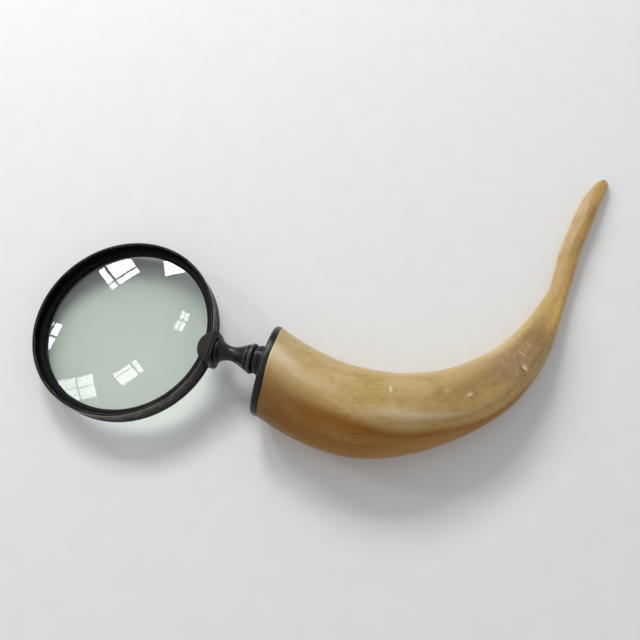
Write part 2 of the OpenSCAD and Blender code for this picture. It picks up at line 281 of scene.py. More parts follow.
class Finish:
    """A material, and short calls that add nodes to it and give back their outputs."""

    def __init__(self, name):
        self.material = bpy.data.materials.new(name)
        self.material.use_nodes = True
        self.tree = self.material.node_tree
        self.shader = self.tree.nodes["Principled BSDF"]
        self.output = self.tree.nodes["Material Output"]

    def put(self, socket, value):
        """Links a node's output into a socket, or sets the socket to a plain value."""
        if isinstance(value, bpy.types.NodeSocket):
            self.tree.links.new(value, socket)
        else:
            socket.default_value = value

    def add(self, kind, inputs, **settings):
        """A new node with its inputs and settings."""
        made = self.tree.nodes.new(kind)
        for key, value in settings.items():
            setattr(made, key, value)
        for key, value in inputs.items():
            self.put(made.inputs[key], value)
        return made

    def mark(self, name, vector=False):
        """A mark that skin() left on the mesh."""
        made = self.add("ShaderNodeAttribute", {}, attribute_name=name)
        return made.outputs["Vector" if vector else "Fac"]

    def place(self):
        """The place on the piece, in metres."""
        return self.add("ShaderNodeTexCoord", {}).outputs["Object"]

    def stretch(self, vector, scale):
        return self.add("ShaderNodeMapping", {"Vector": vector, "Scale": scale}).outputs["Vector"]

    def grain(self, vector, scale, detail=3.0, warp=0.0):
        """Noise about 0.5."""
        return self.add("ShaderNodeTexNoise", {"Vector": vector, "Scale": scale, "Detail": detail,
                                               "Distortion": warp}).outputs["Fac"]

    def fade(self, value, low, high, start=0.0, end=1.0):
        """start where the value is low, end where it is high, and a smooth change between."""
        return self.add("ShaderNodeMapRange",
                        {"Value": value, "From Min": low, "From Max": high, "To Min": start,
                         "To Max": end}, interpolation_type="SMOOTHSTEP").outputs["Result"]

    def sum(self, a, b):
        return self.add("ShaderNodeMath", {0: a, 1: b}, operation="ADD").outputs[0]

    def times(self, a, b):
        return self.add("ShaderNodeMath", {0: a, 1: b}, operation="MULTIPLY").outputs[0]

    def over(self, share, under, upper):
        """The upper colour laid over the under one, where share is 1."""
        return self.add("ShaderNodeMix", {0: share, 6: under, 7: upper}, data_type="RGBA").outputs[2]

    def relief(self, height, depth, strength, under=None):
        """Bumps as deep as depth, on top of those of under."""
        inputs = {"Height": height, "Distance": depth * MM, "Strength": strength}
        if under is not None:
            inputs["Normal"] = under
        return self.add("ShaderNodeBump", inputs).outputs["Normal"]

    def set(self, **values):
        """Sets the surface's inputs, and gives back the finished material."""
        for key, value in values.items():
            self.put(self.shader.inputs[key.replace("_", " ")], value)
        return self.material


def bronze_finish(name, dark, brown, rubbed, matt, wear, gloss, lumps):
    """Oil-darkened bronze: cloudy brown patina, small casting pits, and bright metal where it is
    rubbed.  The marks say where that is, and where the rim's plain wall lies.  matt is its
    roughness, wear how bare the rubbed places are, and lumps how deep its dents are."""
    f = Finish(name)
    here = f.place()
    clouds = f.fade(f.grain(here, 55, 5, 0.6), 0.42, 0.66)
    specks = f.fade(f.grain(here, 900, 3), 0.52, 0.72)
    colour = f.over(clouds, tint(dark), tint(brown))
    colour = f.over(f.times(specks, 0.35), colour, tint(brown))
    colour = f.over(f.mark("wall"), colour, f.over(f.times(clouds, 0.2), tint(brown), tint(dark)))
    worn = f.times(f.mark("rub"), f.fade(f.grain(here, 130, 4), 0.25, 0.60, 0.5, 1.0))
    colour = f.over(f.fade(worn, 0.25, 0.9, 0.0, wear), colour, tint(rubbed))
    rough = f.sum(matt, f.fade(f.grain(here, 320, 4), 0.3, 0.7, -0.10, 0.12))
    dents = f.relief(f.grain(here, 240, 4), lumps, 0.6)
    pits = f.relief(f.fade(f.grain(here, 1300, 2), 0.30, 0.42), 0.03, 0.5, dents)
    return f.set(Base_Color=colour, Metallic=f.fade(worn, 0.1, 0.9, 0.15, wear), Roughness=rough,
                 Normal=pits, Specular_IOR_Level=gloss)


def cap_finish():
    """Polished black cap with a few hairlines and a slightly uneven polish."""
    f = Finish("polished_black")
    here = f.place()
    smear = f.fade(f.grain(here, 70, 4, 0.8), 0.35, 0.65)
    hair = f.grain(f.stretch(here, (3000, 500, 160)), 1, 2)
    colour = f.over(smear, tint("#0b0c0c"), tint("#151716"))
    colour = f.over(f.fade(hair, 0.66, 0.74, 0.0, 0.35), colour, tint("#4d545c"))
    bumps = f.relief(f.grain(here, 120, 3), 0.25, 0.35)
    return f.set(Base_Color=colour, Roughness=f.fade(smear, 0, 1, 0.16, 0.38),
                 Normal=f.relief(hair, 0.01, 0.4, bumps), Specular_IOR_Level=0.4, Coat_Weight=0.15,
                 Coat_Roughness=0.2)


def lacquer_finish():
    """Matt black paint round the lens."""
    f = Finish("matt_black")
    here = f.place()
    dust = f.fade(f.grain(here, 1500, 2), 0.60, 0.75, 0.0, 0.25)
    colour = f.over(dust, tint("#08090b"), tint("#232323"))
    return f.set(Base_Color=colour, Roughness=f.fade(f.grain(here, 200, 3), 0.3, 0.7, 0.45, 0.62),
                 Normal=f.relief(f.grain(here, 700, 3), 0.05, 0.5), Specular_IOR_Level=0.15)


def metal_finish(name, plain, stained, rough):
    """Turned metal: fine tool lines round the neck's axis, and a few stains."""
    f = Finish(name)
    here = f.place()
    lines = f.grain(f.stretch(here, (9000, 60, 60)), 1, 2)
    stains = f.fade(f.grain(here, 160, 4), 0.48, 0.70)
    return f.set(Base_Color=f.over(stains, tint(plain), tint(stained)), Metallic=1.0,
                 Roughness=f.fade(lines, 0.3, 0.7, rough - 0.07, rough + 0.1),
                 Normal=f.relief(lines, 0.02, 0.6))


def wood_finish():
    """Plain plug wood: growth lines and pores along the grain."""
    f = Finish("plug_wood")
    long_grain = f.stretch(f.place(), (18, 260, 260))
    growth = f.fade(f.grain(long_grain, 1, 5, 1.2), 0.35, 0.65)
    pores = f.fade(f.grain(f.stretch(f.place(), (60, 1600, 1600)), 1, 2), 0.55, 0.68)
    colour = f.over(growth, tint("#b98d5c"), tint("#8d6238"))
    return f.set(Base_Color=f.over(f.times(pores, 0.5), colour, tint("#5f3f22")), Roughness=0.72,
                 Normal=f.relief(pores, -0.08, 0.7))


def gasket_finish():
    """Dull rubber with a grey bloom."""
    f = Finish("gasket_rubber")
    here = f.place()
    bloom = f.fade(f.grain(here, 420, 4), 0.4, 0.7)
    return f.set(Base_Color=f.over(bloom, tint("#2b2623"), tint("#46403a")), Roughness=0.8,
                 Normal=f.relief(f.grain(here, 1200, 2), 0.03, 0.5))


def glass_finish():
    """Clear crown glass, faintly green, with a little haze, that lets light through to the desk."""
    f = Finish("lens_glass")
    here = f.place()
    haze = f.fade(f.grain(here, 45, 4, 0.5), 0.5, 0.8, 0.0, 0.004)
    f.set(Base_Color=tint("#dde1dd"), Roughness=haze, IOR=1.52, Transmission_Weight=1.0)
    rays = f.add("ShaderNodeLightPath", {})
    clear = f.add("ShaderNodeBsdfTransparent", {"Color": tint("#dde6e0")})
    both = f.add("ShaderNodeMixShader", {0: rays.outputs["Is Shadow Ray"],
                                         1: f.shader.outputs[0], 2: clear.outputs[0]})
    f.tree.links.new(both.outputs[0], f.output.inputs["Surface"])
    return f.material


def horn_finish():
    """Polished horn: blond above, amber along the outer side, honey towards the tip, with long
    streaks, a painted highlight along the ridge and painted light on its dim outer side.  The marks
    say where each colour lies, and rest is the place on a straightened horn."""
    f = Finish("polished_horn")
    rest = f.mark("rest", vector=True)

    def noise(along, across, detail, warp=0.0):
        return f.grain(f.stretch(rest, (along, across, across)), 1, detail, warp)

    def two(value, low, high, first, second):
        return f.over(f.fade(value, low, high), tint(first), tint(second))

    cloud = noise(22, 60, 4, 0.8)
    blush = f.fade(noise(13, 34, 2, 0.6), 0.48, 0.68)
    olive = f.fade(noise(34, 75, 3, 0.8), 0.50, 0.66)
    mottle = noise(60, 150, 3, 0.5)
    streak = noise(14, 420, 4, 0.4)
    fibre = noise(40, 2600, 3)
    speck = noise(260, 420, 4, 0.8)
    scuffs = f.fade(noise(300, 520, 3, 1.6), 0.50, 0.60)
    layers = [
        # The plain horn, blond and mottled, yellower towards the tip, with painted light on its dim
        # outer side.
        (f.fade(mottle, 0.45, 0.70, 0.0, 0.35), tint("#af9159")),
        (f.mark("honey"), two(mottle, 0.4, 0.65, "#bf9f56", "#bc9a62")),
        # Painted light: lightens the upper outer side, most towards the tip, where the lamps leave it
        # dim.
        (f.mark("painted_fill_light"), tint("#e8ba62")),
        (f.times(blush, 0.45), tint("#bc9268")),
        (f.times(olive, 0.4), tint("#a78f4d")),
        (f.mark("dusk"), two(cloud, 0.4, 0.6, "#977847", "#a28059")),
        (f.fade(streak, 0.50, 0.72, 0.0, 0.12), tint("#8e6c3a")),
        (f.fade(streak, 0.48, 0.28, 0.0, 0.14), tint("#d9bb8c")),
        (f.fade(speck, 0.48, 0.32, 0.0, 0.16), tint("#dcc394")),
        # The amber outer side, darker near the mouth.
        (f.mark("amber"), two(cloud, 0.4, 0.62, "#985b14", "#9c6522")),
        (f.mark("umber"), two(mottle, 0.4, 0.65, "#9f6c34", "#a87942")),
        (f.mark("warm"), tint("#d2a468")),
        (f.mark("shade"), tint("#3a2a1b")),
        (f.fade(speck, 0.52, 0.70, 0.0, 0.20), tint("#76562c")),
        # Worn and cut places, and a painted highlight along the ridge and near the mouth.
        (f.times(f.mark("pale"), 0.75), tint("#cdb684")),
        # Painted highlight along the ridge and near the mouth, together with the blade's worn line.
        (f.times(f.mark("painted_highlight_and_worn_line"), 0.7), tint("#e2cfaf")),
        (f.times(f.times(f.mark("scuff"), scuffs), 0.6), tint("#d6be94")),
        (f.times(f.mark("flat"), 0.85), two(mottle, 0.35, 0.6, "#bb9a68", "#ccb085")),
        (f.fade(fibre, 0.52, 0.72, 0.0, 0.10), tint("#5f431e")),
        (f.times(f.mark("chip"), 0.9), tint("#e6d6b2")),
        (f.mark("slit"), tint("#463619"))]
    colour = two(cloud, 0.35, 0.65, "#bf9f5e", "#caae7b")
    for share, upper in layers:
        colour = f.over(share, colour, upper)
    rough = f.sum(f.fade(streak, 0.3, 0.7, 0.26, 0.38), f.times(f.mark("chip"), 0.15))
    rough = f.sum(rough, f.times(f.mark("honey"), 0.24))
    waves = f.relief(streak, 0.05, 0.4, f.relief(fibre, 0.02, 0.5))
    unpolished = f.sum(f.mark("honey"), f.mark("outer"))
    return f.set(Base_Color=colour, Roughness=rough, Normal=waves,
                 Specular_IOR_Level=f.fade(f.mark("outer"), 0, 1, 0.3, 0.10),
                 Coat_Weight=f.fade(unpolished, 0, 1, 0.12, 0.0), Coat_Roughness=0.12,
                 Subsurface_Weight=0.12, Subsurface_Scale=0.003,
                 Subsurface_Radius=(1.0, 0.55, 0.25))


# ---------------------------------------------------------------- head

# The rim's lip, its wall round the lens, and the ledge that the lens sits on.
LIP_T = 1.6
WALL_T = 3.4
LEDGE_W = 2.2
SEAT_R = RIM_R - WALL_T
LEDGE_R = SEAT_R - LEDGE_W


def make_rim(bronze):
    """The turned rim: a rolled lip, a wall with a ledge for the lens, and the screw's hole.  The
    wall is turned down a little between the bands at its two edges."""
    lip_r = RIM_R - LIP_T
    wall_r = RIM_R - 0.12
    band_end = RIM_H - 1.5
    wall_end = band_end - 0.25
    ledge_t = 1.5
    slope_h = 1.5
    seat_top = span("retaining_ring", UP)[0]
    ledge_top = span("lens_gasket", UP)[0]
    ledge_back = ledge_top - ledge_t
    outline, rub = rounded([
        (RIM_R, -RIM_H, 0.5), (RIM_R, -band_end, 0), (wall_r, -wall_end, 0), (wall_r, wall_end, 0),
        (RIM_R, band_end, 0), (RIM_R, RIM_H, 0.5), (lip_r, RIM_H, 0.35), (lip_r, seat_top, 0),
        (SEAT_R, seat_top, 0), (SEAT_R, ledge_top, 0), (LEDGE_R, ledge_top, 0.2),
        (LEDGE_R, ledge_back, 0.2), (lip_r, ledge_back - slope_h, 0.3), (lip_r, -RIM_H, 0.35)])
    is_outside = outline[:, 0] > RIM_R - 0.6
    rub = np.clip(rub * np.where(is_outside, 2.2, 0.6), 0, 1)
    wall = (outline[:, 0] > RIM_R - 0.3) * smooth(RIM_H - np.abs(outline[:, 1]), 0.4, 1.0)
    rim = skin("rim_shell", circles(outline, "lens", 256), joined=True,
               marks={"rub": rub, "wall": wall})
    cut(rim, bore(SEAT_R - 3, RIM_R + 2, SCREW_R + FIT))
    fit(rim, "head", bronze, "rim_ring")


def make_retainer(lacquer):
    """The split ring that holds the lens, rounded along its nose."""
    low, high = span("retaining_ring", UP)
    outer_r = span("retaining_ring", ACROSS)[1]
    nose = low + 0.43
    half_split = 1.5 / LEDGE_R
    outline, _ = rounded([
        (LEDGE_R, nose, 0.1), (outer_r - 1.8, low, 0), (outer_r, low, 0), (outer_r, high, 0.3),
        (LEDGE_R + 1.3, high, 0.4), (LEDGE_R, nose + 0.5, 0.2)])
    turn = np.linspace(half_split, 2 * np.pi - half_split, 220)[:, None]
    radius, along = outline[:, 0], outline[:, 1]
    rings = in_head(radius * np.cos(turn), radius * np.sin(turn), along + 0 * turn)
    ring = skin("lens_retainer", rings)
    fit(ring, "head", lacquer, "retaining_ring")


def make_lens(glass):
    """Two spherical faces and a ground edge with a small chamfer on each side."""
    edge_half = 1.5
    chamfer = 0.25
    edge_r = span("lens", ACROSS)[1]
    low, high = span("lens", UP)
    middle = (low + high) / 2
    half = (high - low) / 2
    sag = half - edge_half
    face_r = (edge_r ** 2 + sag ** 2) / (2 * sag)
    radius = edge_r * np.sin(np.linspace(0, np.pi / 2, 72)) * (1 - chamfer / edge_r)
    height = half - face_r + np.sqrt(face_r ** 2 - radius ** 2)
    front = np.stack([radius, middle + height], 1)
    back = np.stack([radius, middle - height], 1)[::-1]
    edge = np.array([[edge_r, middle + edge_half - chamfer], [edge_r, middle - edge_half + chamfer]])
    lens = skin("lens_disc", circles(np.concatenate([front, edge, back]), "lens", 256))
    fit(lens, "head", glass, "lens", crease=20)


def tongue_relief(x, across, tongue_r):
    """How far the tongue's face stands off its plane: it falls away at the round edge, and two
    small beads run along the straight one."""
    edge_r = 0.5
    from_edge = tongue_r - np.hypot(x - SADDLE_END, across)
    inset = np.clip(edge_r - from_edge, 0, edge_r)
    fall = edge_r - np.sqrt(edge_r ** 2 - inset ** 2)
    beads = np.zeros_like(x)
    for back, half, tall in ((0.9, 0.8, 0.60), (2.5, 0.6, 0.42)):
        beads += tall * np.sqrt(np.clip(1 - ((x - SADDLE_END + back) / half) ** 2, 0, 1))
    return beads * smooth(from_edge, -0.1, 0.5) - fall


def saddle_slice(y, shift, tongue_r, round_r):
    """One upright slice of the saddle, with the slot that the rim sits in.  Gives its points and
    how much each is rubbed.  At the sides, the rounded lower half leaves no rear tongue."""
    under = RIM_H + FIT
    lip_t = 0.2
    end_edge = 0.3
    steps, end_steps = 44, 13
    tip_x = SADDLE_END - math.sqrt(tongue_r ** 2 - (y - shift) ** 2)
    wall_x = max(tip_x, math.sqrt((RIM_R + FIT) ** 2 - y ** 2))
    x = tip_x + (SADDLE_END - tip_x) * smooth(np.linspace(0, 1, steps), -0.02, 1.02)
    top = SADDLE_TOP + tongue_relief(x, y - shift, tongue_r)
    arc = math.sqrt(round_r ** 2 - (y - shift) ** 2)
    has_back = arc > under
    base = np.minimum(top, arc)[::-1]
    base_x = (x if has_back else np.maximum(x, wall_x))[::-1]
    lip = min(under + lip_t, (under + arc) / 2) if has_back else base[-1]
    slot = min(under, base[-1])
    back_x = tip_x if has_back else wall_x
    outline = [*zip(x, top)]
    down = np.linspace(top[-1] - end_edge, end_edge - base[0], end_steps)
    outline += [(SADDLE_END, z) for z in down]
    outline += [*zip(base_x, -base)]
    slot_corners = [(back_x, -lip), (back_x, -slot), (wall_x, -slot), (wall_x, under),
                    (tip_x, under), (tip_x, under + lip_t)]
    outline = np.array(outline + slot_corners)
    near = hill(tongue_r - np.hypot(x - SADDLE_END, y - shift), 0, 0.5)
    rub = np.concatenate([near, np.zeros(end_steps), near[::-1], np.zeros(len(slot_corners))])
    return in_head(outline[:, 0], y, outline[:, 1]), rub


def make_saddle(bronze):
    """The cast saddle: a half-round tongue above and below the rim, joined by a block at the neck."""
    near = 0.01
    low, high = span("saddle", ACROSS)
    tongue_r = (high - low) / 2
    shift = (low + high) / 2
    place = points("saddle") - LENS
    bottom_y = (place @ ACROSS)[place @ UP < near - SADDLE_TOP]
    round_r = math.hypot(np.abs(bottom_y - shift).max(), SADDLE_TOP)
    wing = math.sqrt(round_r ** 2 - (RIM_H + FIT) ** 2)
    places = (tongue_r - 0.15) * np.sin(np.linspace(-np.pi / 2, np.pi / 2, 61))
    # A pair of slices stands at each end of the rear tongue.
    places = np.sort(np.append(places, [-wing - near, near - wing, wing - near, wing + near]))
    slices = [saddle_slice(shift + p, shift, tongue_r, round_r) for p in places]
    saddle = skin("saddle_casting", [ring for ring, _ in slices],
                  marks={"rub": np.array([rub for _, rub in slices])})
    cut(saddle, bore(RIM_R - 2, SADDLE_END + 1, SCREW_R + FIT))
    cut(saddle, bore(SADDLE_END - SPIGOT_L - FIT, SADDLE_END + 1, SPIGOT_R + FIT))
    fit(saddle, "head", bronze, "saddle")


def make_neck(bronze):
    """The turned neck: a bulb on the saddle, a narrow waist, a flare, a bead and a foot."""
    start = SADDLE_END
    # Radius at distances from the saddle, through the bulb, the waist and the flare.
    bulb = np.array([[7.35, 0.0], [7.66, 0.45], [7.68, 1.0], [7.3, 1.65], [6.5, 2.35], [5.75, 3.2],
                     [5.15, 4.3], [4.68, 5.7], [4.34, 7.2], [4.2, 8.5], [4.3, 9.9], [4.6, 11.4],
                     [5.08, 12.9], [5.62, 14.3], [6.25, 15.7], [6.9, 17.0], [7.45, 18.0],
                     [7.68, 18.6]])
    flare_r, flare_end = bulb[-1]
    flare_end += start
    groove_r, foot_r, foot_start = 7.0, 8.05, start + 23.7
    bead_at, bead_half, bead_r, bead_rise = start + 21.55, 1.75, 8.9, 1.5
    body = through(bulb, np.linspace(0, 1, 90))
    body[:, 1] += start
    bead = np.linspace(-80, 80, 15) * np.pi / 180
    ridge = np.stack([bead_r - bead_rise * (1 - np.cos(bead)), bead_at + bead_half * np.sin(bead)], 1)
    step, step_rub = rounded([(flare_r, flare_end, 0), (flare_r, flare_end + 0.5, 0.15),
                              (groove_r, flare_end + 0.55, 0.1), (groove_r, flare_end + 1.0, 0)],
                             closed=False, steps=3, skirt=0.1)
    foot, foot_rub = rounded([(groove_r + 0.1, foot_start - 0.25, 0), (groove_r + 0.1, foot_start, 0.1),
                              (foot_r, foot_start + 0.1, 0.3), (foot_r, NECK_END, 0.25),
                              (STUD_R + FIT, NECK_END, 0)], closed=False, steps=3, skirt=0.1)
    screw_end = start + 8.0
    socket_end = span("stud", NECK)[0] - 0.5
    spigot = np.array([[SCREW_R + FIT, screw_end], [SCREW_R + FIT, start - SPIGOT_L],
                       [SPIGOT_R, start - SPIGOT_L], [SPIGOT_R, start]])
    socket = np.array([[STUD_R + FIT, socket_end]])
    outline = np.concatenate([spigot, body, step[1:], ridge, foot, socket])
    body_rub = hill(body[:, 1], start + 0.6, 0.5) * 0.7 + hill(body[:, 1], flare_end, 0.5)
    rub = np.concatenate([np.zeros(len(spigot)), body_rub, step_rub[1:], 0.9 * np.cos(bead) ** 2,
                          foot_rub, np.zeros(len(socket))])
    neck = skin("neck_turning", circles(outline), marks={"rub": rub})
    fit(neck, "head", bronze, "neck_baluster")


def make_collar(bronze):
    """The loose collar between the neck's foot and the cap, with a shallow groove round it."""
    low, high = span("foot_collar", NECK)
    radius = girth("foot_collar")
    middle = (low + high) / 2
    outline, rub = rounded([
        (STUD_R + FIT, low, 0), (radius, low, 0.5), (radius, middle - 0.3, 0.1),
        (radius - 0.35, middle, 0.15), (radius, middle + 0.3, 0.1), (radius, high, 0.5),
        (STUD_R + FIT, high, 0)], skirt=0.2)
    collar = skin("collar_ring", circles(outline), joined=True, marks={"rub": rub})
    fit(collar, "collar", bronze, "foot_collar")


# ---------------------------------------------------------------- handle

def read_horn():
    """The CAD horn's rings: places of their middles, and half-widths, half-heights and turns,
    outside and in the hollow.  Each ring's lowest point lies on the desk under its middle."""
    # How near a point has to be to count as on the desk, at mid-height, above a ring's middle, or
    # opposite another point, and the least distance between two rings or two walls.
    on_desk, on_level, same_ring, same_pair, apart = 0.002, 0.003, 0.01, 0.006, 0.5
    cloud = points("horn_handle")
    left = cloud[cloud[:, 2] < on_desk][:, :2]
    spine = [left[left[:, 0].argmin()]]
    while True:
        left = left[np.linalg.norm(left - spine[-1], axis=1) > apart]
        if not len(left):
            break
        spine.append(left[np.linalg.norm(left - spine[-1], axis=1).argmin()])
    width, height, turn, hollow = [], [], [], []
    for i, middle in enumerate(spine[:-1]):
        column = cloud[np.linalg.norm(cloud[:, :2] - middle, axis=1) < same_ring][:, 2]
        half = column.max() / 2
        level = cloud[abs(cloud[:, 2] - half) < on_level][:, :2] - middle
        # This ring's points lie in pairs about its middle, which those of other rings do not.
        pairs = np.array([p for p in level if np.linalg.norm(level + p, axis=1).min() < same_pair])
        reach = np.linalg.norm(pairs, axis=1)
        pairs, reach = pairs[reach < 1.5 * half], reach[reach < 1.5 * half]
        side = pairs[reach.argmax()]
        heading = spine[i + 1] - middle
        side = side if heading[0] * side[1] - heading[1] * side[0] > 0 else -side
        width.append(reach.max())
        height.append(half)
        turn.append(math.atan2(-side[0], side[1]))
        inside = column[(column > apart) & (column < 2 * half - apart)]
        if len(inside):
            hollow.append((reach[reach < reach.max() - 1].max(), inside.max() - half))
    return np.array(spine), np.array(width), np.array(height), np.array(turn), np.array(hollow)


SPINE, WIDTH, HEIGHT, RING_TURN, HOLLOW = read_horn()

# The distance between rings, the horn's length along its middle, and the length of its round tip.
STEP = np.linalg.norm(SPINE[1] - SPINE[0])
HORN_L = STEP * (len(SPINE) - 1)
TIP_L = 9.0


def carried_on(values):
    """The rings' values without the last, whose ring is already part of the round tip, carried on
    in a straight line to the tip."""
    kept = values[:-1]
    more = np.arange(1, len(SPINE) - len(kept) + 1)
    return np.concatenate([kept, kept[-1] + more * (kept[-1] - kept[-2])])


def horn_ring_frames(s):
    """Middle, half-width, half-height and turn of the horn's section, s from its mouth."""
    t = s / HORN_L
    turn = np.concatenate([RING_TURN, RING_TURN[-1:]])
    tip = np.sqrt(1 - np.clip((s - (HORN_L - TIP_L)) / TIP_L, 0, 1) ** 2)
    w = through(carried_on(WIDTH), t) * tip
    h = through(carried_on(HEIGHT), t) * tip
    return through(SPINE, t), w, h, through(turn, t)


def stood(middle, turn, lift, x, z):
    """Rings of points, x across and z up from each ring's middle, which stands lift off the desk."""
    return np.stack([middle[:, 0, None] - x * np.sin(turn), middle[:, 1, None] + x * np.cos(turn),
                     lift + z], -1)


def ridge_angle(s):
    """Where the long soft ridge runs: it starts on top and drops towards the outer side."""
    return np.interp(s, [0, 60, 75, 95, 112, 130, 152, 190], [85, 97, 101, 112, 122, 123, 118, 121])


# Old nicks in the horn: distance from the mouth, angle round it, half-length along and
# half-width across it, and depth.  A deep nick also has a dark slit.
NICKS = [(72, 66, 1.2, 2.5, 0.45), (104, 77, 3.0, 1.9, 0.12), (115, 95, 2.6, 1.1, 0.33),
         (152, 110, 1.9, 2.3, 0.9), (207, 117, 0.8, 1.8, 0.20), (37, 88, 1.4, 1.4, 0.12),
         (158, 86, 0.9, 2.2, 0.18), (166, 84, 0.7, 2.0, 0.18), (HORN_L - 3, 100, 1.0, 1.3, 0.35)]
DEEP_NICK = 0.8

# Swells and dips of the inner side: distance from the mouth, half-length and height.
SWELLS = [(80, 9, -0.7), (216, 8, -1.0), (241, 6, 0.7), (262, 6, -0.7), (288, 7, 0.5)]


def horn_relief(s, phi):
    """How far the real surface stands off the plain ellipse, apart from the nicks: the ridge and
    its two valleys, slow waves, and swells on the inner side.  It is plain where it meets the desk."""
    ridge = ridge_angle(s)
    off = 0.95 * hill(phi, ridge, 13) - 0.75 * hill(phi, ridge + 36, 20)
    off = (off - 0.55 * hill(phi, ridge - 34, 22)) * (1 - smooth(s, 150, 215))
    waves = 0.22 * np.sin(s / 17 + phi / 50) * np.sin(s / 41 - phi / 33 + 1.3)
    waves += 0.16 * np.sin(s / 9.5 - phi / 25 + 0.6) * np.sin(s / 23 + 2.1)
    off += waves * smooth(s, 3, 25) * (1 - 0.4 * smooth(s, 180, 300))
    inner = np.clip(np.cos(np.radians(phi - 8)), 0, 1) ** 2
    for at, half, tall in SWELLS:
        off += tall * hill(s, at, half) * inner
    from_desk = np.abs(((phi - 270 + 180) % 360) - 180)
    return off * smooth(from_desk, 12, 45)


def horn_nicks(s, phi, girth_mm):
    """Height of the nicks' dents and low rims, and where they show pale chips and a dark slit."""
    off, chip, slit = np.zeros((3,) + s.shape)
    for at, angle, half_s, half_w, deep in NICKS:
        ds = (s - at) / half_s
        da = np.radians(phi - angle) * girth_mm / half_w
        d = np.hypot(ds, da)
        off += deep * (0.35 * hill(d, 1.5, 0.5) - hill(d, 0, 0.85))
        chip = np.maximum(chip, hill(np.hypot((ds - 0.4) / 0.7, da), 0, 0.8) * min(1.0, deep * 3))
        if deep > DEEP_NICK:
            groove = hill(ds, -0.6, 0.32) * hill(da, 0.2, 0.8)
            slit = np.maximum(slit, groove)
            off -= 0.5 * groove
    return off, chip, slit


def blade(s, x, z, w, h):
    """Flattens the inner face of the last third, where the horn was cut to a blade.  The cut takes
    a share of the reach towards it, with small waves, and meets the rest in a rounded edge."""
    facing = math.radians(30)
    share, rounding = 0.06, 2.4
    along = band(s, 192, 222, 268, 302)
    nibble = 0.035 * np.sin(s / 4.3) * np.sin(s / 9.1 + 1) + 0.015 * np.sin(s / 3.1 + 2)
    reach = np.hypot(w * math.cos(facing), h * math.sin(facing))
    limit = reach * (1.0 - along * (share + nibble))
    out = x * math.cos(facing) + z * math.sin(facing) - limit
    push = 0.46 * (out + np.sqrt(out ** 2 + rounding ** 2)) * along
    flat = smooth(push, 0.4, 1.1)
    return x - push * math.cos(facing), z - push * math.sin(facing), flat


def horn_colours(s, angle):
    """Where each colour of the horn lies, from 0 to 1, and where painted light lifts the outer side
    that the lamps leave dim.  Angles run from the inner side, over the top at 90, to the outer
    side, where amber begins at an edge that drops along the horn."""
    top_half = 1 - smooth(angle, 205, 262)
    edge = np.interp(s, [0, 40, 60, 80, 100, 130, 170], [92, 102, 112, 125, 135, 148, 160])
    edge = edge + 2.5 * np.sin(s / 11) * np.sin(s / 29 + 0.7)
    soft = 6 * (1 - smooth(s, 20, 60))
    amber = smooth(angle, edge - 6 - soft, edge + 12 + soft) * top_half
    amber *= (0.15 + 0.85 * (1 - smooth(s, 110, 190))) * (0.45 + 0.55 * smooth(s, 0, 30))
    umber = smooth(angle, edge + 8, edge + 34) * top_half
    umber *= (1 - smooth(s, 40, 230)) * (0.7 + 0.3 * smooth(s, 0, 20))
    umber = np.maximum(umber, 0.5 * hill(s, 274, 8) * hill(angle, 120, 18))
    dusk = 0.9 * band(s, 112, 150, 172, 196) * smooth(angle, 35, 68)
    dusk = np.maximum(dusk, 0.35 * band(s, 70, 120, 172, 196) * smooth(angle, 60, 90))
    dusk *= 1 - 0.55 * smooth(angle, ridge_angle(s) - 2, ridge_angle(s) + 9)
    # Painted light: lightens the outer side, most towards the tip, where the lamps leave it dim.
    painted_fill_light = np.maximum(0.35 + 0.65 * smooth(s, 170, 205), 0.8 * hill(s, 130, 40))
    return {
        "amber": amber, "umber": umber, "dusk": dusk * top_half,
        "painted_fill_light": painted_fill_light * band(angle, 80, 125, 170, 230),
        "honey": smooth(s, 160, 205),
        "outer": smooth(angle, 104, 132),
        "shade": 0.42 * (1 - smooth(s, 0, 48)) * smooth(angle, 86, 120) * top_half,
        "warm": 0.32 * hill(s, 92, 30) * smooth(angle, edge + 4, edge + 20) * top_half}


def horn_wear_and_highlight(s, angle, flat, chip):
    """Where the horn is pale: a painted highlight along its ridge and near its mouth, its inner side,
    its scuffs and chips, and the blade's cut face with a worn line along its edge."""
    # A painted highlight: a thin band along the ridge, a patch at the mouth and a streak beyond it.
    painted_highlight_and_worn_line = hill(angle, ridge_angle(s), np.interp(s, [80, 105], [7, 2.7]))
    painted_highlight_and_worn_line *= smooth(s, 52, 72) * np.interp(s, [80, 105, 130, 160], [0.85, 0.5, 0.4, 0])
    painted_highlight_and_worn_line += 1.1 * hill(angle, 72, 12) * (1 - smooth(s, 4, 26))
    painted_highlight_and_worn_line += 0.5 * hill(angle, 80, 9) * hill(s, 28, 16)
    blade_edge = np.interp(s, [222, 249, 266, 286, 300], [45, 68, 86, 70, 45])
    worn_line = hill(angle, blade_edge, 5) * band(s, 236, 250, 276, 290)
    face = band(s, 214, 228, 282, 300) * band(angle, -50, -20, blade_edge - 8, blade_edge + 4)
    scuff = hill(s, 161, 8) * hill(angle, 86, 12)
    scuff += hill(angle, 22, 28) * band(s, 204, 214, 270, 290)
    mouth_edge = 0.35 * (1 - smooth(s, 0.2, 1.0)) * hill(angle, 75, 45)
    return {
        "painted_highlight_and_worn_line": np.clip(np.clip(painted_highlight_and_worn_line, 0, 1) + 0.55 * worn_line, 0, 1),
        "pale": hill(angle, 2, 30) * (1 - 0.7 * smooth(s, 170, 230)),
        "scuff": scuff, "flat": np.maximum(0.6 * flat, face), "chip": np.maximum(chip, mouth_edge)}


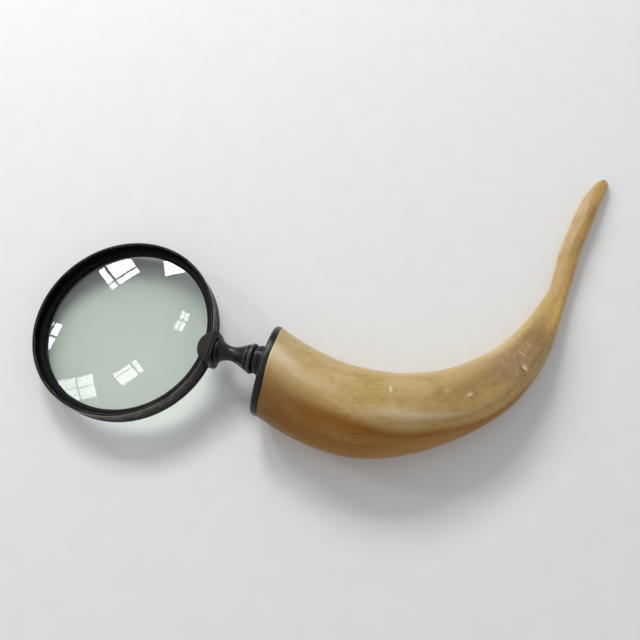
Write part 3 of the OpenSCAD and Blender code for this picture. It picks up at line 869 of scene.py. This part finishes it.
def horn_outside(phi):
    """The outside from the mouth to the tip: its rings, its place on a straightened horn, and its
    marks."""
    lip = np.array([0.0, 0.12, 0.3, 0.55])
    body = np.linspace(0, HORN_L - TIP_L, 400)
    tip = HORN_L - TIP_L + TIP_L * np.sin(np.linspace(0, 0.985 * np.pi / 2, 20))[1:]
    s = np.concatenate([lip, body[1:], tip])
    middle, w, h, turn = horn_ring_frames(s)
    w, h, turn = w[:, None], h[:, None], turn[:, None]
    s, angle = np.broadcast_arrays(s[:, None], phi)
    c, q = np.cos(np.radians(angle)), np.sin(np.radians(angle))
    dents, chip, slit = horn_nicks(s, angle, (w + h) / 2)
    off = horn_relief(s, angle) + dents - 0.3 * (1 - smooth(s, 0, 0.6))
    off = off * np.minimum(1, w / 3) / np.hypot(c * h, q * w)
    x, z, flat = blade(s, w * c + off * c * h, h * q + off * q * w, w, h)
    rest = np.stack([s, w * c, h * q], -1) * MM
    marks = {"slit": slit, **horn_colours(s, angle), **horn_wear_and_highlight(s, angle, flat, chip)}
    return stood(middle, turn, h, x, z), rest, marks


def horn_hollow(phi):
    """The hollow from its far end back to the mouth: its rings, and its place on a straight horn."""
    deep = len(HOLLOW) - 1
    share = np.linspace(deep, 0, 36) / deep
    s = share * deep * STEP
    middle, _, h, turn = horn_ring_frames(s)
    inner = through(HOLLOW, share)
    x = inner[:, :1] * np.cos(np.radians(phi))
    z = inner[:, 1:] * np.sin(np.radians(phi))
    return stood(middle, turn[:, None], h[:, None], x, z), np.stack([s[:, None] + 0 * x, x, z], -1) * MM


def make_horn(finish):
    """The horn: one skin from the far end of its hollow, out at the mouth and on to the tip."""
    phi = np.linspace(-90, 270, 176, endpoint=False)
    inner, inner_rest = horn_hollow(phi)
    outer, outer_rest, marks = horn_outside(phi)
    unmarked = np.zeros(inner.shape[:2])
    marks = {name: np.concatenate([unmarked, value]) for name, value in marks.items()}
    marks["rest"] = np.concatenate([inner_rest, outer_rest])
    horn = skin("horn_shell", np.concatenate([inner, outer]), marks=marks)
    fit(horn, "handle", finish, "horn_handle", crease=40)


def make_cap(finish):
    """The end cap: an ellipse like the horn's mouth, a boss turned square to the neck, the stud's
    hole, and a recess for the washer.  One skin from the back edge round to the recess and back."""
    mouth_x = box("horn_handle")[0][0]
    middle = np.array([SPINE[0][1], HEIGHT[0]])
    turn = np.linspace(0, 2 * np.pi, 240, endpoint=False)
    cap_t = 4.1
    edge_r = 1.8
    front_x = mouth_x - cap_t
    boss_r = girth("foot_collar") + 0.4
    boss_start = span("foot_collar", NECK)[1] + FIT
    recess_start = boss_start + 4.1
    recess_r = girth("nut_washer") + 0.2

    def oval(x, inset):
        """The mouth's ellipse, made smaller by inset, in the upright plane at x."""
        wide = (WIDTH[0] - inset) * np.cos(turn)
        tall = (HEIGHT[0] - inset) * np.sin(turn)
        return np.stack([0 * turn + x, middle[0] + wide, middle[1] + tall], -1)

    def round_neck(along, radius):
        """A circle about the neck's centre line."""
        return in_head(along, radius * np.cos(turn), radius * np.sin(turn))

    def on_plane(x, radius):
        """Where a tube about the neck meets the upright plane at x."""
        start = round_neck(0, radius)
        return start + ((x - start[:, 0]) / NECK[0])[:, None] * NECK

    # The back edge, the rounded front edge, the face up to the boss, a small fillet, the boss with
    # its hole, and the recess.
    rings = [oval(mouth_x - FIT, 0.35), oval(mouth_x - 0.35, 0.02)]
    for a in np.radians(np.linspace(0, 90, 9)):
        rings.append(oval(front_x + edge_r * (1 - math.sin(a)), edge_r * (1 - math.cos(a))))
    brim = rings[-1]
    boss_foot = on_plane(front_x, boss_r + 0.5)
    for k in (0.15, 0.5, 0.85):
        rings.append(brim * (1 - k) + boss_foot * k)
    for rise, spread in ((0, 0.35), (0.08, 0.08), (0.3, 0)):
        rings.append(on_plane(front_x - rise, boss_r + spread))
    rings += [round_neck(boss_start + 0.25, boss_r), round_neck(boss_start + 0.07, boss_r - 0.07),
              round_neck(boss_start, boss_r - 0.25), round_neck(boss_start, STUD_R + FIT),
              round_neck(recess_start, STUD_R + FIT), round_neck(recess_start, recess_r),
              on_plane(mouth_x - FIT, recess_r)]
    cap = skin("end_cap_disc", rings, joined=True)
    fit(cap, "handle", finish, "end_cap")


# ---------------------------------------------------------------- stage, light and camera

def floor_finish():
    """Pale matt floor, a little brighter far away, so that it fades into the backdrop."""
    f = Finish("pale_floor")
    fine = f.grain(f.place(), 60, 4)
    away = f.add("ShaderNodeVectorMath", {0: f.place()}, operation="LENGTH").outputs["Value"]
    seen = f.add("ShaderNodeLightPath", {}).outputs["Is Camera Ray"]
    return f.set(Base_Color=f.over(f.fade(fine, 0.3, 0.7), tint("#f4f3f1"), tint("#f6f5f3")),
                 Roughness=0.85, Emission_Color=(1.0, 1.0, 1.0, 1.0),
                 Emission_Strength=f.times(f.fade(away, 0.3, 3.0, 0.0, 0.3), seen))


def make_floor(material):
    """A wide square of floor, just under the object."""
    half = 12.0
    drop = 0.02
    mesh = bpy.data.meshes.new("floor")
    mesh.from_pydata([(-half, -half, 0), (half, -half, 0), (half, half, 0), (-half, half, 0)], [],
                     [(0, 1, 2, 3)])
    paint(mesh, material)
    floor = placed("floor", mesh)
    floor.location.z = -drop * MM


def make_world():
    """A dim cool light from all round, which the camera sees as a pale grey backdrop."""
    world = bpy.data.worlds.new("studio")
    world.use_nodes = True
    tree = world.node_tree
    sky = tree.nodes["Background"]
    sky.inputs["Color"].default_value = (0.93, 0.965, 1.0, 1.0)
    sky.inputs["Strength"].default_value = 0.46
    backdrop = tree.nodes.new("ShaderNodeBackground")
    backdrop.inputs["Color"].default_value = (0.70, 0.71, 0.72, 1.0)
    rays = tree.nodes.new("ShaderNodeLightPath")
    both = tree.nodes.new("ShaderNodeMixShader")
    tree.links.new(rays.outputs["Is Camera Ray"], both.inputs[0])
    tree.links.new(sky.outputs[0], both.inputs[1])
    tree.links.new(backdrop.outputs[0], both.inputs[2])
    tree.links.new(both.outputs[0], tree.nodes["World Output"].inputs["Surface"])
    bpy.context.scene.world = world


def lamp(name, place, aim, size_x, size_y, radiance):
    """A rectangle of even light, facing a point."""
    light = bpy.data.lights.new(name, "AREA")
    light.shape = "RECTANGLE"
    light.size, light.size_y = size_x, size_y
    light.energy = radiance * math.pi * size_x * size_y
    made = placed(name, light)
    made.location = place
    made.rotation_mode = "QUATERNION"
    made.rotation_quaternion = (Vector(aim) - Vector(place)).to_track_quat("-Z", "Y")


def window(name, azimuth, elevation, wide, tall, mullion, transom, radiance, distance=1.6):
    """A soft window of two by two panes, seen from the lens in a direction: azimuth from +Y
    towards +X, and elevation, width and height, all in degrees.  The two bars stand at a share of
    the width and of the height, and the distance is in metres."""
    a, e = math.radians(azimuth), math.radians(elevation)
    aim = Vector(LENS * MM)
    toward = Vector((math.sin(a) * math.cos(e), math.cos(a) * math.cos(e), math.sin(e)))
    side = Vector((math.cos(a), -math.sin(a), 0))
    rise = toward.cross(side) * -1
    # The bar between panes is left dark.
    bar = 0.02
    full_w = 2 * distance * math.tan(math.radians(wide / 2))
    full_t = 2 * distance * math.tan(math.radians(tall / 2))
    for column, (left, right) in (("near", (0, mullion)), ("far", (mullion, 1))):
        for row, (low, high) in (("low", (0, transom)), ("high", (transom, 1))):
            x, y = (left + right - 1) / 2 * full_w, (low + high - 1) / 2 * full_t
            shift = side * x + rise * y
            lamp(f"{name}_{column}_{row}", aim + toward * distance + shift, aim + shift,
                 (right - left) * full_w - bar, (high - low) * full_t - bar, radiance)


def make_light():
    """Three windows, whose reflections stand in the lens."""
    window("window_left", -82.5, 32, 8, 7, mullion=0.5, transom=0.55, radiance=25)
    window("window_middle", -52, 36, 9.7, 10, mullion=0.25, transom=0.72, radiance=24)
    window("window_back", -27.5, 39, 14.5, 15.5, mullion=0.45, transom=0.58, radiance=24)


def make_camera():
    """The photographer's view: from above the near edge of the desk, a little to the right."""
    azimuth, elevation, roll = math.radians(16.51), math.radians(68.94), math.radians(-1.21)
    aim = Vector((2.13, -25.64, 0)) * MM
    distance = 396.4 * MM
    back = Vector((math.sin(azimuth) * math.cos(elevation), -math.cos(azimuth) * math.cos(elevation),
                   math.sin(elevation)))
    level = Vector((0, 0, 1)).cross(back).normalized()
    upright = back.cross(level)
    right = level * math.cos(roll) + upright * math.sin(roll)
    top = back.cross(right)
    camera = placed("camera", bpy.data.cameras.new("camera"))
    camera.data.sensor_width = 36
    camera.data.lens = 36
    camera.data.clip_start = 0.01
    place = aim + back * distance
    camera.matrix_world = Matrix((
        (right.x, top.x, back.x, place.x), (right.y, top.y, back.y, place.y),
        (right.z, top.z, back.z, place.z), (0, 0, 0, 1)))
    bpy.context.scene.camera = camera


# ---------------------------------------------------------------- the whole

def finish_inside():
    """The nodes inside keep their CAD shape and get a finish."""
    steel = metal_finish("turned_steel", "#9b9994", "#6f6c66", 0.32)
    brass = metal_finish("turned_brass", "#b08d4f", "#86672f", 0.30)
    finishes = {"lens_gasket": gasket_finish(), "head_screw": steel, "stud": steel,
                "stud_nut": steel, "nut_washer": steel, "cap_dowels": brass,
                "core_plug": wood_finish()}
    for name, material in finishes.items():
        paint(frame["nodes"][name].data, material)


rim_bronze = bronze_finish("rim_bronze", "#0f1014", "#251d1a", "#b5a893",
                           matt=0.42, wear=0.85, gloss=0.14, lumps=0.03)
neck_bronze = bronze_finish("neck_bronze", "#161617", "#211f1e", "#6c6864",
                            matt=0.30, wear=0.4, gloss=0.45, lumps=0.2)
saddle_bronze = bronze_finish("saddle_bronze", "#181b19", "#261e1a", "#574d42",
                              matt=0.40, wear=0.45, gloss=0.32, lumps=0.14)
make_rim(rim_bronze)
make_retainer(lacquer_finish())
make_lens(glass_finish())
make_saddle(saddle_bronze)
make_neck(neck_bronze)
make_collar(neck_bronze)
make_horn(horn_finish())
make_cap(cap_finish())

finish_inside()
make_floor(floor_finish())
make_world()
make_light()
make_camera()
bpy.context.scene.view_settings.view_transform = "Standard"
